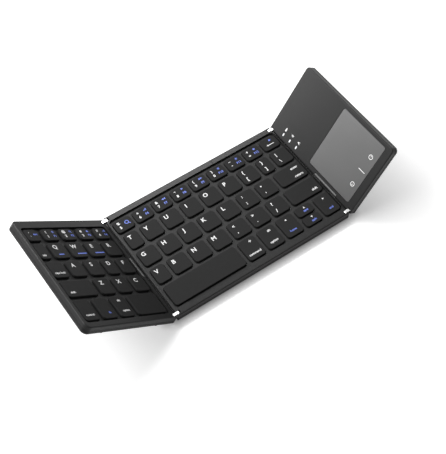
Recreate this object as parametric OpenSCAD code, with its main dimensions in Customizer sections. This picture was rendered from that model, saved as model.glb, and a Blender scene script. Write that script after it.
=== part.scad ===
// Folding keyboard in three panels: middle panel, left key wing, right touch wing.
// Millimetres. X to the right, Y to the rear, Z up, the middle panel's feet stand on Z = 0.
// The wings are drawn at their rest angles, and every wing piece is modelled flat
// and then turned about its hinge pin.

/* [Panels] */
// height of the rubber feet below the shell
foot_h = 0.5; // [0.3:0.1:1.5]
// gap between two panels when unfolded
panel_gap = 0.5; // [0.3:0.1:2]
// width of the raised rail beside the middle well
rail_w = 1.575; // [1.4:0.025:3]
// middle panel, wall between the front hinge pins and the well
front_skin = 0.95; // [0.1:0.05:4]
// middle panel, wall between the rear hinge pins and the well
rear_skin = 0.15; // [0.1:0.05:4]
// left wing, solid band in front of the well
wing_front_bezel = 4.45; // [4.4:0.05:7]
// left wing, rail at the outer edge
wing_outer_rail = 2.6; // [2:0.1:5]
// left wing, band beside the hinge
wing_inner_rail = 4.45; // [4:0.05:7]
// right wing, full width
touch_wing_w = 61.95; // [58:0.05:75]
// parting line of shell and cover, below the key plate
part_drop = 1.0; // [0.3:0.1:1.2]
// bottom shell floor
floor_t = 1.0; // [0.8:0.1:1.5]
// outer wall of shell and top cover
wall_t = 1.6; // [1.4:0.1:1.8]
// corner radius beside a hinge
seam_corner_r = 1.0; // [0.5:0.1:2]
// left wing, outer rear corner radius
left_rear_r = 2.8; // [1:0.1:6]
// left wing, outer front corner radius
left_front_r = 4.5; // [1:0.1:7]
// right wing, outer rear corner radius
right_rear_r = 3.0; // [1:0.1:6]
// right wing, outer front corner radius
right_front_r = 3.6; // [1:0.1:7]
// lower wall of the top frame beside the key plate
lip_t = 1.0; // [0.8:0.05:1.2]
// rib in the shell that carries the key plate
rib_t = 0.8; // [0.6:0.05:0.8]
// gap between the end of that rib and the well's end
rib_end = 1.0; // [0.5:0.1:4]
// rounding under the seam edges
seam_under_r = 0.6; // [0.3:0.1:1]
// rounding of the top edges
top_round = 0.8; // [0.3:0.1:1.4]
// rounding of the bottom edges
bottom_round = 1.8; // [0.5:0.1:2.2]
// corner radius inside a bottom shell
cavity_r = 1.5; // [0.5:0.1:2]
// height and depth of the groove at the parting line
groove = 0.2; // [0.1:0.05:0.4]

/* [Hinges] */
// depth of the hinge pins below the top face, and their inset from the seam wall
hinge_r = 1.85; // [1.8:0.05:2.3]
// rest angle of the left wing above the table
left_angle = 38.8; // [0:0.1:90]
// rest angle of the right wing above the table
right_angle = 56.0; // [0:0.1:90]
// radius of a hinge pin
pin_r = 0.7; // [0.5:0.05:0.8]
// running clearance of a pin in its bore, on the radius
pin_fit = 0.05; // [0.02:0.01:0.1]
// radius of a link bar's round end
link_r = 1.55; // [1.3:0.05:1.6]
// width of a link bar along the pins
link_w = 2.2; // [1.6:0.1:3]
// wall between the end of a pin bore and the panel's front or rear face
ear_skin = 0.25; // [0.2:0.05:0.8]
// clearance around a link bar in its slot
link_clear = 0.2; // [0.1:0.05:0.25]
// length of a pin on the inner side of its link bar
pin_inner = 0.85; // [0.6:0.05:1]
// length of a pin on the outer side of its link bar
pin_outer = 1.0; // [0.6:0.05:1.1]

/* [Keys] */
// gap between letter keys of the middle panel
key_gap = 2.65; // [1.5:0.05:4]
// gap between number keys of the middle panel
num_gap = 1.9; // [1.5:0.05:4]
// gap between keys of the left wing
wing_key_gap = 3.0; // [1.5:0.05:4]
// margin from the middle well's left wall to the number row
key_margin_l = 1.1; // [0.8:0.05:3]
// margin from the right end of each middle row to the well wall
key_margin_r = 0.45; // [0.4:0.05:3]
// how much further in the letter rows start
letter_inset = 0.85; // [0:0.05:3]
// left wing, margin beside the inner wall
wing_margin_in = 1.1; // [0.8:0.05:3]
// left wing, margin beside the outer wall
wing_margin_out = 0.7; // [0.4:0.05:3]
// middle well, margin in front of the space bar
key_margin_front = 1.4; // [0.8:0.05:3]
// middle well, margin behind the number row
key_margin_rear = 2.6; // [1.2:0.05:4]
// left well, margin behind the number row
wing_margin_rear = 1.4; // [0.8:0.05:3]
// depth of a letter key
row_d = 15.2; // [12:0.1:18]
// depth of a number key
num_row_d = 11.6; // [9:0.1:15]
// depth of the space bar row
space_row_d = 19.0; // [15:0.1:22]
// gap between the letter rows
row_gap = 2.8; // [1.5:0.1:4]
// gap between the number row and the row below it
num_row_gap = 2.3; // [1.5:0.1:4]
// gap between the space bar row and the row above it
space_row_gap = 2.5; // [1.5:0.1:4]
// gap between the up and down arrow keys
arrow_split = 1.0; // [0.8:0.1:2]
// number key width
num_w = 14.9; // [12:0.05:18]
// letter key width
letter_w = 15.0; // [12:0.05:18]
// first key of the upper letter row
upper_first_w = 11.25; // [9:0.05:15]
// last key but one of the upper letter row
bracket_w = 11.0; // [9:0.05:15]
// last key of the upper letter row
backslash_w = 15.0; // [12:0.05:20]
// enter key
enter_w = 24.9; // [18:0.05:32]
// first key of the lower letter row
lower_first_w = 11.75; // [9:0.05:15]
// right shift key
right_shift_w = 28.15; // [20:0.05:34]
// space bar
space_w = 62.0; // [50:0.1:70]
// command and option keys right of the space bar
mod_w = 14.7; // [12:0.05:18]
// left arrow key
left_arrow_w = 14.7; // [12:0.05:18]
// up and down arrow keys
mid_arrow_w = 14.9; // [12:0.05:18]
// right arrow key
right_arrow_w = 14.2; // [12:0.05:18]
// left wing number keys
wing_num_w = 13.2; // [10:0.05:16]
// left wing outermost number key
grave_w = 12.0; // [9:0.05:16]
// left wing upper letter keys
wing_upper_w = 13.8; // [10:0.05:16]
// tab key
tab_w = 9.6; // [8:0.05:15]
// left wing home row, key beside the hinge
home_1_w = 12.5; // [10:0.05:16]
// left wing home row, second key
home_2_w = 11.4; // [10:0.05:16]
// left wing home row, third and fourth keys
home_3_w = 13.55; // [10:0.05:16]
// caps lock key
caps_w = 13.8; // [10:0.05:20]
// left wing lower letter keys
wing_lower_w = 13.5; // [10:0.05:16]
// left shift key
left_shift_w = 27.3; // [18:0.05:34]
// left wing space key
wing_space_w = 28.0; // [20:0.05:34]
// option and function keys of the left wing
wing_mod_w = 13.2; // [10:0.05:16]
// control key
control_w = 13.4; // [10:0.05:18]
// corner radius of a keycap
key_r = 2.6; // [1.2:0.1:3.4]
// slope of a keycap's sides, from base to top
key_taper = 0.25; // [0:0.05:0.5]
// height of the upright foot of a keycap's side
key_upright = 1.0; // [0.6:0.1:1.5]
// rounding of a keycap's top edge
key_edge = 0.35; // [0.1:0.05:0.6]
// keycap top below the panel's top face
key_drop = 0.1; // [0:0.05:0.5]
// keycap height
key_h = 2.3; // [1.8:0.1:2.8]
// keycap top thickness
key_top_t = 1.1; // [0.6:0.1:1.4]
// keycap skirt thickness
key_skirt_t = 1.0; // [0.6:0.1:1.2]
// key travel
key_travel = 1.1; // [0.6:0.1:1.2]
// clearance around a keycap in the key plate
key_clear = 0.25; // [0.15:0.05:0.35]
// thickness of the key plate
plate_t = 1.0; // [0.6:0.1:1.2]
// depth of the key plate below the panel's top face
well_depth = 1.8; // [1.4:0.1:2.2]
// clearance around the key plate
plate_clear = 0.1; // [0.05:0.05:0.3]

/* [Inside] */
// circuit board thickness
board_t = 0.8; // [0.6:0.1:1]
// gap between the battery and the board above it
battery_gap = 0.2; // [0.1:0.05:0.5]
// gap between a keycap's skirt, fully pressed, and the dome sheet
press_clear = 0.2; // [0.1:0.05:0.5]
// clearance of a board from the walls around it
board_clear = 0.2; // [0.1:0.05:0.4]
// dome sheet film thickness
film_t = 0.2; // [0.1:0.05:0.3]
// gap between a rubber dome and its keycap
dome_gap = 0.3; // [0.1:0.05:0.4]
// radius of a rubber dome at its base
dome_r = 3.2; // [2.4:0.1:3.4]
// radius of a rubber dome at its top
dome_top_r = 1.6; // [1:0.1:2]
// battery cell length
battery_l = 72; // [50:1:90]
// battery cell depth
battery_d = 44; // [30:1:60]
// battery cell thickness
battery_t = 1.6; // [1:0.1:3]
// battery cell corner radius
battery_r = 2.0; // [0.5:0.1:4]
// radius of a post that carries a board
post_r = 1.5; // [1:0.1:2.5]
// flat cable width
cable_w = 12.0; // [8:0.5:16]
// flat cable thickness
cable_t = 0.2; // [0.1:0.05:0.3]
// clearance around the flat cable in the walls it passes through
cable_clear = 0.2; // [0.1:0.05:0.3]
// length of flat cable that lies on each board
cable_lap = 2.2; // [1:0.1:2.6]
// length of the flex cover in the left wing's hinge edge
left_cover_l = 20.0; // [12:0.5:30]
// place of the left flex cover along the edge
left_cover_y = 0.0; // [-10:0.5:10]
// length of the flex cover in the right wing's hinge edge
right_cover_l = 26.0; // [12:0.5:30]
// place of the right flex cover along the edge
right_cover_y = -19.2; // [-22:0.1:10]
// clearance between a flex cover and its notch
cover_clear = 0.15; // [0.1:0.05:0.3]

/* [Port and fittings] */
// charging port, middle of the opening from the panel's middle
port_x = 14.2; // [-40:0.1:40]
// charging port shell width
port_w = 8.94; // [8.9:0.02:9.2]
// charging port shell height
port_h = 3.26; // [3.1:0.02:3.3]
// charging port shell length
port_l = 6.9; // [6:0.1:7.2]
// charging port sheet thickness
port_t = 0.3; // [0.2:0.05:0.4]
// distance of the port's mouth behind the rear face
port_back = 0.25; // [0.1:0.05:0.6]
// height of the port above the shell floor
port_lift = 0.15; // [0.1:0.05:0.2]
// width of the tongue in the port
tongue_w = 6.6; // [6:0.1:7]
// thickness of the tongue in the port
tongue_t = 0.7; // [0.6:0.05:0.8]
// distance of the tongue behind the port's mouth
tongue_back = 1.0; // [0.5:0.1:2]
// clearance between the port and the wall around it
port_clear = 0.15; // [0.1:0.05:0.3]
// width of the relief in the top face above the port
relief_w = 11.0; // [9:0.5:16]
// depth of that relief
relief_depth = 0.5; // [0.2:0.1:0.8]
// length of that relief, from the rear wall
relief_l = 4.25; // [3:0.05:4.6]
// start of the thumb ledge, from the space bar's left edge
ledge_in = 8.8; // [4:0.1:14]
// length of the thumb ledge in front of the space bar
ledge_l = 53.0; // [30:0.5:62]
// depth of the thumb ledge below the top face
ledge_depth = 0.7; // [0.3:0.1:1.2]
// width of the thumb ledge's slope, front to rear
ledge_w = 2.1; // [1:0.1:4]
// touch plate width, along the wing
touch_w = 52.6; // [40:0.1:56]
// touch plate depth, front to rear
touch_d = 47.0; // [30:0.5:60]
// touch plate inner edge, from the hinge wall
touch_x = 5.85; // [4.6:0.05:8]
// touch plate front edge, from the wing's front wall
touch_y = 6.65; // [5:0.05:20]
// touch plate corner radius
touch_r = 1.6; // [0.5:0.1:4]
// touch plate thickness
touch_t = 0.7; // [0.5:0.1:0.9]
// touch sensor thickness
sensor_t = 0.6; // [0.4:0.1:0.8]
// thickness of the ledge under the touch sensor
touch_ledge_t = 1.0; // [0.6:0.1:1.4]
// gap around the touch plate
touch_clear = 0.3; // [0.1:0.05:0.6]
// touch plate face below the cover
touch_drop = 0.1; // [0:0.05:0.3]
// skin of the right wing's top cover
cover_t = 1.2; // [1:0.1:1.4]
// ledge that carries the touch sensor, width
touch_ledge = 1.5; // [1:0.1:3]
// indicator light length
light_l = 2.6; // [1.6:0.1:4]
// indicator light width
light_w = 1.2; // [0.8:0.1:2]
// clearance around an indicator light
light_clear = 0.05; // [0.02:0.01:0.2]
// distance of the lights from the hinge wall
light_x = 6.05; // [4.6:0.05:9]
// rearmost light, from the wing's rear wall
light_y = 14.3; // [10:0.1:18]
// pitch of the indicator lights
light_pitch = 8.0; // [4:0.1:12]
// foot radius
foot_r = 4.0; // [2.5:0.1:6]
// foot recess depth in the shell
foot_recess = 0.4; // [0.2:0.1:0.5]
// foot distance from the front and rear walls
foot_y = 9.0; // [7:0.1:14]
// foot distance from the side walls
foot_x = 12.0; // [8:0.1:18]
// clearance around a foot in its recess
foot_clear = 0.1; // [0.05:0.05:0.2]
// screw shank radius
screw_r = 0.7; // [0.5:0.05:0.8]
// screw head radius
screw_head_r = 1.35; // [1.1:0.05:1.6]
// screw head height
screw_head_h = 0.6; // [0.4:0.1:0.8]
// screw length under its head
screw_l = 4.6; // [4:0.1:5]
// screw distance from the front and rear walls
screw_y = 2.7; // [2.5:0.05:3]
// screw distance from the end walls
screw_x = 17.0; // [14:0.5:24]
// radius of a screw boss
boss_r = 2.1; // [2:0.05:2.4]
// clearance of a screw shank in the shell
screw_clear = 0.1; // [0.05:0.05:0.2]
// clearance of a screw in its threaded bore
thread_clear = 0.02; // [0.01:0.01:0.05]
// width of a screw's cross slot
drive_w = 0.3; // [0.2:0.05:0.4]
// length of a screw's cross slot
drive_l = 1.6; // [1.2:0.1:2]
// depth of a screw's cross slot
drive_h = 0.3; // [0.1:0.05:0.4]

/* [Node] */
// which piece to draw

/* [Hidden] */
big = 400;
eps = 0.01;
arc_steps = 4;
panel_t = floor_t + battery_t + battery_gap + board_t + film_t + press_clear + key_travel + key_h + key_drop;
link_inset = ear_skin + link_clear + pin_outer + link_w / 2;
hinge_band = link_inset + link_w / 2 + link_clear + pin_inner;
front_bezel = hinge_band + front_skin;
rear_bezel = hinge_band + rear_skin;

// heights above the table, panel lying flat
z_under = foot_h;
z_top = foot_h + panel_t;
z_floor = foot_h + floor_t;
pin_z = z_top - hinge_r;
plate_top = z_top - well_depth;
plate_z = plate_top - plate_t;
z_part = plate_z - part_drop;
board_bottom = z_floor + battery_t + battery_gap;
board_top = board_bottom + board_t;
key_top = z_top - key_drop;
key_bottom = key_top - key_h;
dome_top = key_top - key_top_t - dome_gap;
slot_z = pin_z - link_r - link_clear;

// key rows, from the front; each row: gap between keys, inset, widths
function sum(v, i = 0) = i < len(v) ? v[i] + sum(v, i + 1) : 0;
function row_len(r) = r[1] + sum(r[2]) + r[0] * (len(r[2]) - 1);
function rep(w, n) = [for (i = [1:n]) w];
MID_ROWS = [
    [key_gap, letter_inset, [space_w, mod_w, mod_w, left_arrow_w, mid_arrow_w, right_arrow_w]],
    [key_gap, letter_inset, concat([lower_first_w], rep(letter_w, 6), [right_shift_w])],
    [key_gap, letter_inset, concat(rep(letter_w, 7), [enter_w])],
    [key_gap, letter_inset, concat([upper_first_w], rep(letter_w, 6), [bracket_w, backslash_w])],
    [num_gap, 0, rep(num_w, 9)]];
LEFT_ROWS = [
    [wing_key_gap, 0, [wing_space_w, wing_mod_w, wing_mod_w, control_w]],
    [wing_key_gap, 0, concat(rep(wing_lower_w, 3), [left_shift_w])],
    [wing_key_gap, 0, [home_1_w, home_2_w, home_3_w, home_3_w, caps_w]],
    [wing_key_gap, 0, concat(rep(wing_upper_w, 4), [tab_w])],
    [wing_key_gap, 0, concat(rep(wing_num_w, 4), [grave_w])]];
mid_row_max = max([for (r = MID_ROWS) row_len(r)]);
left_row_max = max([for (r = LEFT_ROWS) row_len(r)]);
mid_well_w = key_margin_l + mid_row_max + key_margin_r;
left_well_w = wing_margin_in + left_row_max + wing_margin_out;
mid_w = mid_well_w + 2 * rail_w;
left_w = wing_inner_rail + left_well_w + wing_outer_rail;

ROW_D = [space_row_d, row_d, row_d, row_d, num_row_d];
ROW_GAP = [space_row_gap, row_gap, row_gap, num_row_gap];
rows_d = sum(ROW_D) + sum(ROW_GAP);
panel_d = front_bezel + key_margin_front + rows_d + key_margin_rear + rear_bezel;
y_front = -panel_d / 2;
y_rear = panel_d / 2;
mid_well_y0 = y_front + front_bezel;
mid_well_y1 = y_rear - rear_bezel;
left_well_y0 = y_front + wing_front_bezel;
left_well_y1 = left_well_y0 + key_margin_front + rows_d + wing_margin_rear;
function row_y(y0, r) = y0 + key_margin_front
    + (r > 0 ? sum([for (i = [0:r - 1]) ROW_D[i] + ROW_GAP[i]]) : 0);
// start and width of key i in a row; the last key fills the row to its end
function key_s(r, i) = r[1] + (i > 0 ? sum([for (k = [0:i - 1]) r[2][k] + r[0]]) : 0);
function key_w(r, i, full) = r[2][i] + (i == len(r[2]) - 1 ? full - row_len(r) : 0);
// key boxes in the flat frame of their panel: [x0, x1, y0, y1]
function mid_key(r, i) =
    let (x0 = -mid_well_w / 2 + key_margin_l + key_s(MID_ROWS[r], i),
         y0 = row_y(mid_well_y0, r))
    [x0, x0 + key_w(MID_ROWS[r], i, mid_row_max), y0, y0 + ROW_D[r]];
function left_key(r, i) =
    let (x1 = -wing_inner_rail - wing_margin_in - key_s(LEFT_ROWS[r], i),
         y0 = row_y(left_well_y0, r))
    [x1 - key_w(LEFT_ROWS[r], i, left_row_max), x1, y0, y0 + ROW_D[r]];
half_arrow_d = (space_row_d - arrow_split) / 2;
UP_DOWN = mid_key(0, 4);
ARROW_UP = [UP_DOWN[0], UP_DOWN[1], UP_DOWN[3] - half_arrow_d, UP_DOWN[3]];
ARROW_DOWN = [UP_DOWN[0], UP_DOWN[1], UP_DOWN[2], UP_DOWN[2] + half_arrow_d];
MID_KEYS = concat([for (r = [0:4]) for (i = [0:len(MID_ROWS[r][2]) - 1])
    if (!(r == 0 && i == 4)) mid_key(r, i)], [ARROW_UP, ARROW_DOWN]);
LEFT_KEYS = [for (r = [0:4]) for (i = [0:len(LEFT_ROWS[r][2]) - 1]) left_key(r, i)];

// screws, feet and board posts in the flat frame of each panel
screw_y0 = y_front + screw_y;
screw_y1 = y_rear - screw_y;
MID_SCREWS = [for (x = [-mid_w / 2 + screw_x, 0, mid_w / 2 - screw_x])
    for (y = [screw_y0, screw_y1])
        if (!(x == 0 && y > 0)) [x, y]];
LEFT_SCREWS = [for (x = [-left_w + screw_x, -screw_x]) for (y = [screw_y0, screw_y1]) [x, y]];
RIGHT_SCREWS = [for (x = [touch_wing_w - screw_x, screw_x]) for (y = [screw_y0, screw_y1]) [x, y]];
foot_y0 = y_front + foot_y;
foot_y1 = y_rear - foot_y;
MID_FEET = [for (x = [-mid_w / 2 + foot_x, mid_w / 2 - foot_x]) for (y = [foot_y0, foot_y1]) [x, y]];
LEFT_FEET = [for (x = [-left_w + foot_x, -foot_x]) for (y = [foot_y0, foot_y1]) [x, y]];
RIGHT_FEET = [for (x = [touch_wing_w - foot_x, foot_x]) for (y = [foot_y0, foot_y1]) [x, y]];
post_inset = foot_x + foot_r + 2 * post_r;
MID_POSTS = [for (x = [-mid_w / 2 + post_inset, mid_w / 2 - post_inset]) for (y = [foot_y0, foot_y1]) [x, y]];
LEFT_POSTS = [for (x = [-left_w + post_inset, -post_inset]) for (y = [foot_y0, foot_y1]) [x, y]];
RIGHT_POSTS = [for (x = [touch_wing_w - post_inset, post_inset]) for (y = [foot_y0, foot_y1]) [x, y]];

rib_in = lip_t + plate_clear;
board_inset = rib_in + rib_t + board_clear;
port_z = z_floor + port_lift + port_h / 2;
port_y1 = y_rear - port_back;
port_y0 = port_y1 - port_l;
// free depth between the screw bosses, and the boards in it
boss_y0 = screw_y0 + boss_r;
boss_y1 = screw_y1 - boss_r;
mid_board_y0 = max(mid_well_y0, boss_y0) + board_clear;
mid_board_y1 = min(port_y0, boss_y1) - board_clear;
left_board_y0 = max(left_well_y0, boss_y0) + board_clear;
left_board_y1 = min(left_well_y1, boss_y1) - board_clear;
right_board_y0 = max(y_front + front_bezel, boss_y0) + board_clear;
right_board_y1 = min(y_rear - rear_bezel, boss_y1) - board_clear;
film_inset = board_inset + cable_lap + board_clear;

// a rounded corner as short straight steps
function arc(cx, cz, r, a0) = [for (i = [0:arc_steps])
    [cx + r * cos(a0 + 90 * i / arc_steps), cz + r * sin(a0 + 90 * i / arc_steps)]];
// outline of a panel's cross-section from x0 to x1; radii: bottom left, bottom right, top right, top left
function section(x0, x1, r) = concat(
    arc(x0 + r[0], z_under + r[0], r[0], 180), arc(x1 - r[1], z_under + r[1], r[1], 270),
    arc(x1 - r[2], z_top - r[2], r[2], 0), arc(x0 + r[3], z_top - r[3], r[3], 90));

// rectangle with four true round corners
module rrect(x0, x1, y0, y1, r) {
    difference() {
        translate([x0, y0]) square([x1 - x0, y1 - y0]);
        for (c = [[x0, y0, r[0], 1, 1], [x1, y0, r[1], -1, 1], [x1, y1, r[2], -1, -1], [x0, y1, r[3], 1, -1]])
            translate([c[0], c[1]]) scale([c[3], c[4]]) translate([-1, -1]) square(c[2] + 1);
    }
    for (c = [[x0 + r[0], y0 + r[0], r[0]], [x1 - r[1], y0 + r[1], r[1]],
              [x1 - r[2], y1 - r[2], r[2]], [x0 + r[3], y1 - r[3], r[3]]])
        translate([c[0], c[1]]) circle(r = c[2], $fn = 64);
}

// outer corner of a panel with its middle at the origin: the edge roundings follow the plan radius
module turned_corner(r) rotate_extrude($fn = 64)
    let (low = min(bottom_round, r - eps), top = min(top_round, r - eps))
    polygon(concat([[0, z_under]], arc(r - low, z_under + low, low, 270), arc(r - top, z_top - top, top, 0), [[0, z_top]]));

// outer form of a panel between z0 and z1, drawn in by inset;
// plan_r: plan corner radii from the front left corner round, sect_r: as section() takes them
module panel_form(x0, x1, z0, z1, plan_r, sect_r, inset = 0) {
    corners = [[x0, y_front, 1, 1, plan_r[0]], [x1, y_front, -1, 1, plan_r[1]],
               [x1, y_rear, -1, -1, plan_r[2]], [x0, y_rear, 1, -1, plan_r[3]]];
    turned = [for (c = corners) if (c[4] > seam_corner_r) c];
    intersection() {
        if (inset > 0) translate([0, 0, z0]) linear_extrude(height = z1 - z0)
            rrect(x0 + inset, x1 - inset, y_front + inset, y_rear - inset, [for (r = plan_r) r - inset]);
        else block(x0 - 1, x1 + 1, y_front - 1, y_rear + 1, z0, z1);
        union() {
            difference() {
                intersection() {
                    translate([0, 0, z_under]) linear_extrude(height = panel_t)
                        rrect(x0, x1, y_front, y_rear, [for (r = plan_r) min(r, seam_corner_r)]);
                    translate([0, big / 2, 0]) rotate([90, 0, 0]) linear_extrude(height = big)
                        polygon(section(x0, x1, sect_r));
                    translate([-big / 2, 0, 0]) rotate([90, 0, 90]) linear_extrude(height = big)
                        polygon(section(y_front, y_rear, [bottom_round, bottom_round, top_round, top_round]));
                }
                for (c = turned) translate([c[0], c[1], 0]) scale([c[2], c[3], 1])
                    block(-1, c[4], -1, c[4], z_under - 1, z_top + 1);
            }
            for (c = turned) translate([c[0] + c[2] * c[4], c[1] + c[3] * c[4], 0]) turned_corner(c[4]);
        }
    }
}

MID_PLAN = rep(seam_corner_r, 4);
LEFT_PLAN = [left_front_r, seam_corner_r, seam_corner_r, left_rear_r];
RIGHT_PLAN = [seam_corner_r, right_front_r, right_rear_r, seam_corner_r];
MID_SECT = [seam_under_r, seam_under_r, hinge_r, hinge_r];
LEFT_SECT = [bottom_round, seam_under_r, hinge_r, top_round];
RIGHT_SECT = [seam_under_r, bottom_round, top_round, hinge_r];

module mid_form(z0, z1, inset = 0) panel_form(-mid_w / 2, mid_w / 2, z0, z1, MID_PLAN, MID_SECT, inset);
module left_form(z0, z1, inset = 0) panel_form(-left_w, 0, z0, z1, LEFT_PLAN, LEFT_SECT, inset);
module right_form(z0, z1, inset = 0) panel_form(0, touch_wing_w, z0, z1, RIGHT_PLAN, RIGHT_SECT, inset);

// a straight block
module block(x0, x1, y0, y1, z0, z1)
    translate([x0, y0, z0]) cube([x1 - x0, y1 - y0, z1 - z0]);

module at(points) for (p = points) translate([p[0], p[1], 0]) children();

// wings: flat frame to rest pose
module on_left() translate([-(mid_w / 2 + panel_gap + hinge_r), 0, pin_z]) rotate([0, left_angle, 0])
    translate([hinge_r, 0, -pin_z]) children();
module on_right() translate([mid_w / 2 + panel_gap + hinge_r, 0, pin_z]) rotate([0, -right_angle, 0])
    translate([-hinge_r, 0, -pin_z]) children();

// both ends of a seam, mirrored about the panel's middle
link_y = y_rear - link_inset;
module both_ends() for (s = [-1, 1]) translate([0, s * link_y, 0]) scale([1, s, 1]) children();
// everything a hinge takes out of a panel edge: link slots and pin bores; wall at x = 0, panel towards -x
module hinge_cut() both_ends() {
    block(-hinge_r - link_r - link_clear, 2, -link_w / 2 - link_clear, link_w / 2 + link_clear,
        slot_z, z_top + 1);
    translate([-hinge_r, link_w / 2 + pin_outer + link_clear, pin_z]) rotate([90, 0, 0])
        cylinder(r = pin_r + pin_fit, h = link_w + pin_outer + pin_inner + 2 * link_clear, $fn = 48);
}
module mid_hinge_cuts() {
    translate([mid_w / 2, 0, 0]) hinge_cut();
    translate([-mid_w / 2, 0, 0]) rotate([0, 0, 180]) hinge_cut();
}
// wall slot for the flat cable; wall at x = 0, panel towards -x
module cable_cut(y) block(-board_inset, 1, y - cable_w / 2 - cable_clear, y + cable_w / 2 + cable_clear,
    board_top - cable_clear, board_top + cable_t + cable_clear);
module cover_notch(y, l) block(-2 * hinge_r, 1, y - l / 2, y + l / 2, slot_z, z_top + 1);

// bottom shell parts that every panel has
module boss() translate([0, 0, z_under]) cylinder(r = boss_r, h = z_part - z_under, $fn = 48);
module screw_hole() {
    translate([0, 0, z_under - 1]) cylinder(r = screw_head_r + screw_clear, h = 1 + screw_head_h + screw_clear, $fn = 48);
    translate([0, 0, z_under - 1]) cylinder(r = screw_r + screw_clear, h = z_part - z_under + 2, $fn = 48);
}
module screw() {
    translate([0, 0, z_under + screw_clear]) cylinder(r = screw_head_r, h = screw_head_h, $fn = 48);
    translate([0, 0, z_under + screw_clear + screw_head_h - eps]) cylinder(r = screw_r, h = screw_l + eps, $fn = 48);
}
module screw_drive() translate([-drive_l / 2, -drive_w / 2, z_under]) cube([drive_l, drive_w, screw_clear + drive_h]);
module cross_screw() difference() {
    screw();
    screw_drive();
    rotate([0, 0, 90]) screw_drive();
}
module screw_bore() translate([0, 0, z_under])
    cylinder(r = screw_r + thread_clear, h = screw_head_h + screw_l + 2 * screw_clear, $fn = 48);
module foot_hole() translate([0, 0, z_under - 1]) cylinder(r = foot_r + foot_clear, h = 1 + foot_recess, $fn = 64);
module foot() cylinder(r = foot_r, h = foot_h + foot_recess, $fn = 64);
module post() translate([0, 0, z_floor - eps]) cylinder(r = post_r, h = board_bottom - z_floor + eps, $fn = 48);

// cavity of a bottom shell between its walls
module shell_cavity(x0, x1) translate([0, 0, z_floor]) linear_extrude(height = z_part - z_floor + 1)
    rrect(x0 + wall_t, x1 - wall_t, y_front + wall_t, y_rear - wall_t, rep(cavity_r, 4));
module side_rib(x0, y0, y1, h) block(x0, x0 + rib_t, y0, y1, z_floor - eps, h);

module port_outline(grow) rrect(port_x - port_w / 2 - grow, port_x + port_w / 2 + grow,
    port_z - port_h / 2 - grow, port_z + port_h / 2 + grow, rep(port_h / 2 + grow - eps, 4));
module port_cut() translate([0, y_rear + 1, 0]) rotate([90, 0, 0])
    linear_extrude(height = y_rear + 1 - port_y0 + port_clear) port_outline(port_clear);

// side of a keycap as [inset, height], its top edge rounded in two steps
half_turn = 1 - cos(45);
CAP_SIDE = [[0, 0], [0, key_upright], [key_taper, key_h - key_edge],
    [key_taper + key_edge * half_turn, key_h - key_edge * half_turn], [key_taper + key_edge, key_h]];
module cap_prism(w, l) rotate([90, 0, 0]) translate([0, 0, -l / 2]) linear_extrude(height = l)
    polygon(concat([for (p = CAP_SIDE) [w / 2 - p[0], p[1]]],
        [for (i = [len(CAP_SIDE) - 1:-1:0]) [-w / 2 + CAP_SIDE[i][0], CAP_SIDE[i][1]]]));
module keycap(k) {
    w = k[1] - k[0];
    d = k[3] - k[2];
    translate([(k[0] + k[1]) / 2, (k[2] + k[3]) / 2, key_bottom]) difference() {
        union() {
            cap_prism(w, d - 2 * key_r);
            rotate([0, 0, 90]) cap_prism(d, w - 2 * key_r);
            for (x = [-1, 1]) for (y = [-1, 1]) translate([x * (w / 2 - key_r), y * (d / 2 - key_r), 0])
                rotate_extrude($fn = 48)
                    polygon(concat([[0, 0]], [for (p = CAP_SIDE) [key_r - p[0], p[1]]], [[0, key_h]]));
        }
        translate([-w / 2 + key_skirt_t, -d / 2 + key_skirt_t, -1])
            cube([w - 2 * key_skirt_t, d - 2 * key_skirt_t, 1 + key_h - key_top_t]);
    }
}
module plate_holes(keys) for (k = keys)
    rrect(k[0] - key_clear, k[1] + key_clear, k[2] - key_clear, k[3] + key_clear, rep(key_r + key_clear, 4));
module domes(keys) for (k = keys) translate([(k[0] + k[1]) / 2, (k[2] + k[3]) / 2, board_top])
    cylinder(r1 = dome_r, r2 = dome_top_r, h = dome_top - board_top, $fn = 48);

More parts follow.
